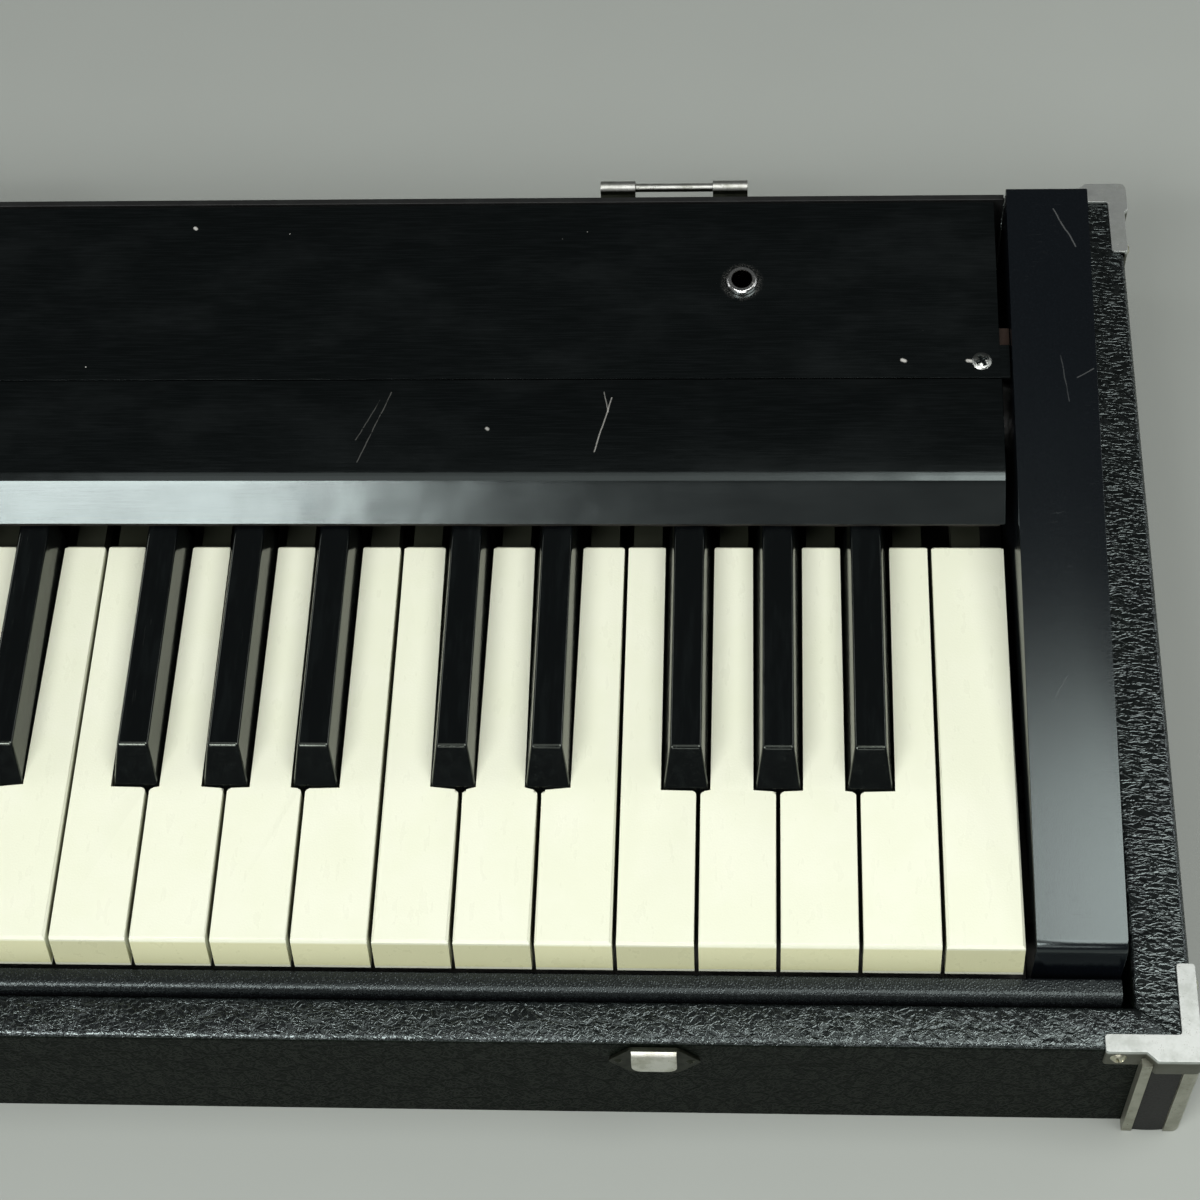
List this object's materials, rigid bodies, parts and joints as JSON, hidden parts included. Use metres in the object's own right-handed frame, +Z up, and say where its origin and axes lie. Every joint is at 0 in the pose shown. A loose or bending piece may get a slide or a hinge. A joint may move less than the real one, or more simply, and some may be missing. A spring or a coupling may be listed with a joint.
{
  "type": "analog synthesizer",
  "caption": "Portable keyboard synthesizer in a covered case with sprung keys, a folded rear panel, cheeks, corner guards, lid hinge halves and latch catches.",
  "frame": {"origin": "centre of the bounding box at the level it stands on", "axes": "+X to the player's right, along the keyboard; +Y to the back; +Z up"},
  "size_m": [0.5492, 0.3276, 0.1187],
  "materials": {
    "white_key": "satin cream",
    "black_key": "gloss black",
    "cover": "coarse grained black leathercloth over board",
    "slip_cover": "fine grained black vinyl over board",
    "panel_paint": "satin black paint",
    "cheek_paint": "satin black paint on wood",
    "nickel": "worn nickel plate",
    "aluminium": "dull",
    "chassis": "zinc plated sheet",
    "board_wood": "raw plywood",
    "circuit_board": "resin board",
    "core_steel": "varnished laminations",
    "black_plastic": "moulded"
  },
  "bodies": {
    "key_01": {"key_01_f": "white_key"},
    "key_02": {"key_02_f_sharp": "black_key"},
    "key_03": {"key_03_g": "white_key"},
    "key_04": {"key_04_g_sharp": "black_key"},
    "key_05": {"key_05_a": "white_key"},
    "key_06": {"key_06_a_sharp": "black_key"},
    "key_07": {"key_07_b": "white_key"},
    "key_08": {"key_08_c": "white_key"},
    "key_09": {"key_09_c_sharp": "black_key"},
    "key_10": {"key_10_d": "white_key"},
    "key_11": {"key_11_d_sharp": "black_key"},
    "key_12": {"key_12_e": "white_key"},
    "key_13": {"key_13_f": "white_key"},
    "key_14": {"key_14_f_sharp": "black_key"},
    "key_15": {"key_15_g": "white_key"},
    "key_16": {"key_16_g_sharp": "black_key"},
    "key_17": {"key_17_a": "white_key"},
    "key_18": {"key_18_a_sharp": "black_key"},
    "key_19": {"key_19_b": "white_key"},
    "key_20": {"key_20_c": "white_key"},
    "key_21": {"key_21_c_sharp": "black_key"},
    "key_22": {"key_22_d": "white_key"},
    "key_23": {"key_23_d_sharp": "black_key"},
    "key_24": {"key_24_e": "white_key"},
    "key_25": {"key_25_f": "white_key"},
    "key_26": {"key_26_f_sharp": "black_key"},
    "key_27": {"key_27_g": "white_key"},
    "key_28": {"key_28_g_sharp": "black_key"},
    "key_29": {"key_29_a": "white_key"},
    "key_30": {"key_30_a_sharp": "black_key"},
    "key_31": {"key_31_b": "white_key"},
    "key_32": {"key_32_c": "white_key"},
    "chassis": {"bottom_board": "board_wood", "cheek_left": "cheek_paint", "cheek_right": "cheek_paint", "corner_guard_front_left": "nickel", "corner_guard_front_right": "nickel", "corner_guard_rear_left": "nickel", "corner_guard_rear_right": "nickel", "front_wall": "cover", "key_bed": "chassis", "keyslip": "slip_cover", "latch_catch_left": "nickel", "latch_catch_right": "nickel", "lid_hinge_left": "nickel", "lid_hinge_right": "nickel", "main_board": "circuit_board", "panel_jack": "nickel", "panel_nose": "panel_paint", "panel_plate": "panel_paint", "pivot_rail": "aluminium", "power_inlet": "black_plastic", "power_transformer": "core_steel", "rear_panel": "panel_paint", "rear_wall": "cover", "side_wall_left": "cover", "side_wall_right": "cover"},
    "volume_knob": {"volume_knob": "black_plastic"},
    "tuning_knob": {"tuning_knob": "black_plastic"},
    "power_rocker": {"power_switch": "black_plastic"}
  },
  "joints": [
    {"name": "press_key_01", "type": "hinge", "parent": "chassis", "child": "key_01", "pos_m": [0, 0.06845, 0.06], "axis": [1, 0, 0], "range_deg": [0, 2.8], "stiffness_Nm_per_rad": 1, "springref_deg": -8.59},
    {"name": "press_key_02", "type": "hinge", "parent": "chassis", "child": "key_02", "pos_m": [0, 0.06845, 0.06], "axis": [1, 0, 0], "range_deg": [0, 3.1], "stiffness_Nm_per_rad": 1, "springref_deg": -8.59},
    {"name": "press_key_03", "type": "hinge", "parent": "chassis", "child": "key_03", "pos_m": [0, 0.06845, 0.06], "axis": [1, 0, 0], "range_deg": [0, 2.8], "stiffness_Nm_per_rad": 1, "springref_deg": -8.59},
    {"name": "press_key_04", "type": "hinge", "parent": "chassis", "child": "key_04", "pos_m": [0, 0.06845, 0.06], "axis": [1, 0, 0], "range_deg": [0, 3.1], "stiffness_Nm_per_rad": 1, "springref_deg": -8.59},
    {"name": "press_key_05", "type": "hinge", "parent": "chassis", "child": "key_05", "pos_m": [0, 0.06845, 0.06], "axis": [1, 0, 0], "range_deg": [0, 2.8], "stiffness_Nm_per_rad": 1, "springref_deg": -8.59},
    {"name": "press_key_06", "type": "hinge", "parent": "chassis", "child": "key_06", "pos_m": [0, 0.06845, 0.06], "axis": [1, 0, 0], "range_deg": [0, 3.1], "stiffness_Nm_per_rad": 1, "springref_deg": -8.59},
    {"name": "press_key_07", "type": "hinge", "parent": "chassis", "child": "key_07", "pos_m": [0, 0.06845, 0.06], "axis": [1, 0, 0], "range_deg": [0, 2.8], "stiffness_Nm_per_rad": 1, "springref_deg": -8.59},
    {"name": "press_key_08", "type": "hinge", "parent": "chassis", "child": "key_08", "pos_m": [0, 0.06845, 0.06], "axis": [1, 0, 0], "range_deg": [0, 2.8], "stiffness_Nm_per_rad": 1, "springref_deg": -8.59},
    {"name": "press_key_09", "type": "hinge", "parent": "chassis", "child": "key_09", "pos_m": [0, 0.06845, 0.06], "axis": [1, 0, 0], "range_deg": [0, 3.1], "stiffness_Nm_per_rad": 1, "springref_deg": -8.59},
    {"name": "press_key_10", "type": "hinge", "parent": "chassis", "child": "key_10", "pos_m": [0, 0.06845, 0.06], "axis": [1, 0, 0], "range_deg": [0, 2.8], "stiffness_Nm_per_rad": 1, "springref_deg": -8.59},
    {"name": "press_key_11", "type": "hinge", "parent": "chassis", "child": "key_11", "pos_m": [0, 0.06845, 0.06], "axis": [1, 0, 0], "range_deg": [0, 3.1], "stiffness_Nm_per_rad": 1, "springref_deg": -8.59},
    {"name": "press_key_12", "type": "hinge", "parent": "chassis", "child": "key_12", "pos_m": [0, 0.06845, 0.06], "axis": [1, 0, 0], "range_deg": [0, 2.8], "stiffness_Nm_per_rad": 1, "springref_deg": -8.59},
    {"name": "press_key_13", "type": "hinge", "parent": "chassis", "child": "key_13", "pos_m": [0, 0.06845, 0.06], "axis": [1, 0, 0], "range_deg": [0, 2.8], "stiffness_Nm_per_rad": 1, "springref_deg": -8.59},
    {"name": "press_key_14", "type": "hinge", "parent": "chassis", "child": "key_14", "pos_m": [0, 0.06845, 0.06], "axis": [1, 0, 0], "range_deg": [0, 3.1], "stiffness_Nm_per_rad": 1, "springref_deg": -8.59},
    {"name": "press_key_15", "type": "hinge", "parent": "chassis", "child": "key_15", "pos_m": [0, 0.06845, 0.06], "axis": [1, 0, 0], "range_deg": [0, 2.8], "stiffness_Nm_per_rad": 1, "springref_deg": -8.59},
    {"name": "press_key_16", "type": "hinge", "parent": "chassis", "child": "key_16", "pos_m": [0, 0.06845, 0.06], "axis": [1, 0, 0], "range_deg": [0, 3.1], "stiffness_Nm_per_rad": 1, "springref_deg": -8.59},
    {"name": "press_key_17", "type": "hinge", "parent": "chassis", "child": "key_17", "pos_m": [0, 0.06845, 0.06], "axis": [1, 0, 0], "range_deg": [0, 2.8], "stiffness_Nm_per_rad": 1, "springref_deg": -8.59},
    {"name": "press_key_18", "type": "hinge", "parent": "chassis", "child": "key_18", "pos_m": [0, 0.06845, 0.06], "axis": [1, 0, 0], "range_deg": [0, 3.1], "stiffness_Nm_per_rad": 1, "springref_deg": -8.59},
    {"name": "press_key_19", "type": "hinge", "parent": "chassis", "child": "key_19", "pos_m": [0, 0.06845, 0.06], "axis": [1, 0, 0], "range_deg": [0, 2.8], "stiffness_Nm_per_rad": 1, "springref_deg": -8.59},
    {"name": "press_key_20", "type": "hinge", "parent": "chassis", "child": "key_20", "pos_m": [0, 0.06845, 0.06], "axis": [1, 0, 0], "range_deg": [0, 2.8], "stiffness_Nm_per_rad": 1, "springref_deg": -8.59},
    {"name": "press_key_21", "type": "hinge", "parent": "chassis", "child": "key_21", "pos_m": [0, 0.06845, 0.06], "axis": [1, 0, 0], "range_deg": [0, 3.1], "stiffness_Nm_per_rad": 1, "springref_deg": -8.59},
    {"name": "press_key_22", "type": "hinge", "parent": "chassis", "child": "key_22", "pos_m": [0, 0.06845, 0.06], "axis": [1, 0, 0], "range_deg": [0, 2.8], "stiffness_Nm_per_rad": 1, "springref_deg": -8.59},
    {"name": "press_key_23", "type": "hinge", "parent": "chassis", "child": "key_23", "pos_m": [0, 0.06845, 0.06], "axis": [1, 0, 0], "range_deg": [0, 3.1], "stiffness_Nm_per_rad": 1, "springref_deg": -8.59},
    {"name": "press_key_24", "type": "hinge", "parent": "chassis", "child": "key_24", "pos_m": [0, 0.06845, 0.06], "axis": [1, 0, 0], "range_deg": [0, 2.8], "stiffness_Nm_per_rad": 1, "springref_deg": -8.59},
    {"name": "press_key_25", "type": "hinge", "parent": "chassis", "child": "key_25", "pos_m": [0, 0.06845, 0.06], "axis": [1, 0, 0], "range_deg": [0, 2.8], "stiffness_Nm_per_rad": 1, "springref_deg": -8.59},
    {"name": "press_key_26", "type": "hinge", "parent": "chassis", "child": "key_26", "pos_m": [0, 0.06845, 0.06], "axis": [1, 0, 0], "range_deg": [0, 3.1], "stiffness_Nm_per_rad": 1, "springref_deg": -8.59},
    {"name": "press_key_27", "type": "hinge", "parent": "chassis", "child": "key_27", "pos_m": [0, 0.06845, 0.06], "axis": [1, 0, 0], "range_deg": [0, 2.8], "stiffness_Nm_per_rad": 1, "springref_deg": -8.59},
    {"name": "press_key_28", "type": "hinge", "parent": "chassis", "child": "key_28", "pos_m": [0, 0.06845, 0.06], "axis": [1, 0, 0], "range_deg": [0, 3.1], "stiffness_Nm_per_rad": 1, "springref_deg": -8.59},
    {"name": "press_key_29", "type": "hinge", "parent": "chassis", "child": "key_29", "pos_m": [0, 0.06845, 0.06], "axis": [1, 0, 0], "range_deg": [0, 2.8], "stiffness_Nm_per_rad": 1, "springref_deg": -8.59},
    {"name": "press_key_30", "type": "hinge", "parent": "chassis", "child": "key_30", "pos_m": [0, 0.06845, 0.06], "axis": [1, 0, 0], "range_deg": [0, 3.1], "stiffness_Nm_per_rad": 1, "springref_deg": -8.59},
    {"name": "press_key_31", "type": "hinge", "parent": "chassis", "child": "key_31", "pos_m": [0, 0.06845, 0.06], "axis": [1, 0, 0], "range_deg": [0, 2.8], "stiffness_Nm_per_rad": 1, "springref_deg": -8.59},
    {"name": "press_key_32", "type": "hinge", "parent": "chassis", "child": "key_32", "pos_m": [0, 0.06845, 0.06], "axis": [1, 0, 0], "range_deg": [0, 2.8], "stiffness_Nm_per_rad": 1, "springref_deg": -8.59},
    {"name": "turn_volume_knob", "type": "hinge", "parent": "chassis", "child": "volume_knob", "pos_m": [-0.1522, 0.07895, 0.10392], "axis": [0, -0.1392, 0.9903], "range_deg": [-150, 150]},
    {"name": "turn_tuning_knob", "type": "hinge", "parent": "chassis", "child": "tuning_knob", "pos_m": [-0.1882, 0.07895, 0.10392], "axis": [0, -0.1392, 0.9903], "range_deg": [-150, 150]},
    {"name": "tip_power_rocker", "type": "hinge", "parent": "chassis", "child": "power_rocker", "pos_m": [-0.1097, 0.11145, 0.08513], "axis": [1, 0, 0], "range_deg": [-16, 0]}
  ]
}
